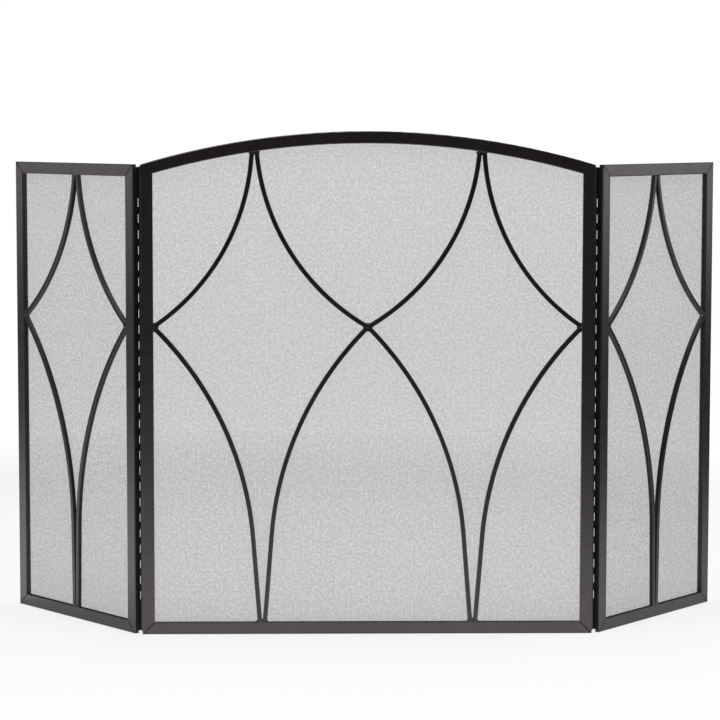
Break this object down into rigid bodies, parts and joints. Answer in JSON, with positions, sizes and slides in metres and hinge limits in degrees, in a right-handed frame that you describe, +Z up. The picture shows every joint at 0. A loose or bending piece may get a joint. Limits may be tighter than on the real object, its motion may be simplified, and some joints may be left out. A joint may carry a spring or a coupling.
{
  "type": "fireplace screen",
  "caption": "Folding fireplace screen: an arched mesh centre panel with concave diamond bars, and narrower mesh side panels on continuous hinges that fold back.",
  "frame": {"origin": "on the floor, under the middle of the centre panel's bottom rail, at the middle of the tube's depth", "axes": "+X along the centre panel to the viewer's right, +Y to the back towards the fire, +Z up"},
  "size_m": [1.1572, 0.2296, 0.793],
  "materials": {
    "frame_steel": "gunmetal powder coat, satin, on welded steel tube",
    "bar_steel": "gunmetal powder coat, satin, on bent square bar",
    "strip_steel": "gunmetal powder coat, satin, on flat strip",
    "mesh_steel": "dark painted fine woven wire mesh, mostly see-through",
    "hinge_steel": "near-black powder coat"
  },
  "bodies": {
    "centre_panel": {"centre_left_stile": "frame_steel", "centre_right_stile": "frame_steel", "centre_bottom_rail": "frame_steel", "centre_arch_rail": "frame_steel", "centre_left_upper_outer_bar": "bar_steel", "centre_left_upper_inner_bar": "bar_steel", "centre_left_lower_outer_bar": "bar_steel", "centre_left_lower_inner_bar": "bar_steel", "centre_right_upper_outer_bar": "bar_steel", "centre_right_upper_inner_bar": "bar_steel", "centre_right_lower_outer_bar": "bar_steel", "centre_right_lower_inner_bar": "bar_steel", "centre_mesh": "mesh_steel", "centre_left_strip": "strip_steel", "centre_right_strip": "strip_steel", "centre_bottom_strip": "strip_steel", "centre_arch_strip": "strip_steel", "left_hinge_centre_leaf": "hinge_steel", "left_hinge_pin": "hinge_steel", "right_hinge_centre_leaf": "hinge_steel", "right_hinge_pin": "hinge_steel"},
    "left_panel": {"left_hinge_stile": "frame_steel", "left_outer_stile": "frame_steel", "left_top_rail": "frame_steel", "left_bottom_rail": "frame_steel", "left_upper_hinge_bar": "bar_steel", "left_upper_outer_bar": "bar_steel", "left_lower_hinge_bar": "bar_steel", "left_lower_outer_bar": "bar_steel", "left_mesh": "mesh_steel", "left_hinge_strip": "strip_steel", "left_outer_strip": "strip_steel", "left_top_strip": "strip_steel", "left_bottom_strip": "strip_steel", "left_hinge_side_leaf": "hinge_steel"},
    "right_panel": {"right_hinge_stile": "frame_steel", "right_outer_stile": "frame_steel", "right_top_rail": "frame_steel", "right_bottom_rail": "frame_steel", "right_upper_hinge_bar": "bar_steel", "right_upper_outer_bar": "bar_steel", "right_lower_hinge_bar": "bar_steel", "right_lower_outer_bar": "bar_steel", "right_mesh": "mesh_steel", "right_hinge_strip": "strip_steel", "right_outer_strip": "strip_steel", "right_top_strip": "strip_steel", "right_bottom_strip": "strip_steel", "right_hinge_side_leaf": "hinge_steel"}
  },
  "joints": [
    {"name": "left_fold", "type": "hinge", "parent": "centre_panel", "child": "left_panel", "pos_m": [-0.3569, 0.0085, 0.3705], "axis": [0, 0, -1], "range_deg": [-46, 134]},
    {"name": "right_fold", "type": "hinge", "parent": "centre_panel", "child": "right_panel", "pos_m": [0.3569, 0.0085, 0.3705], "axis": [0, 0, 1], "range_deg": [-46, 134]}
  ]
}
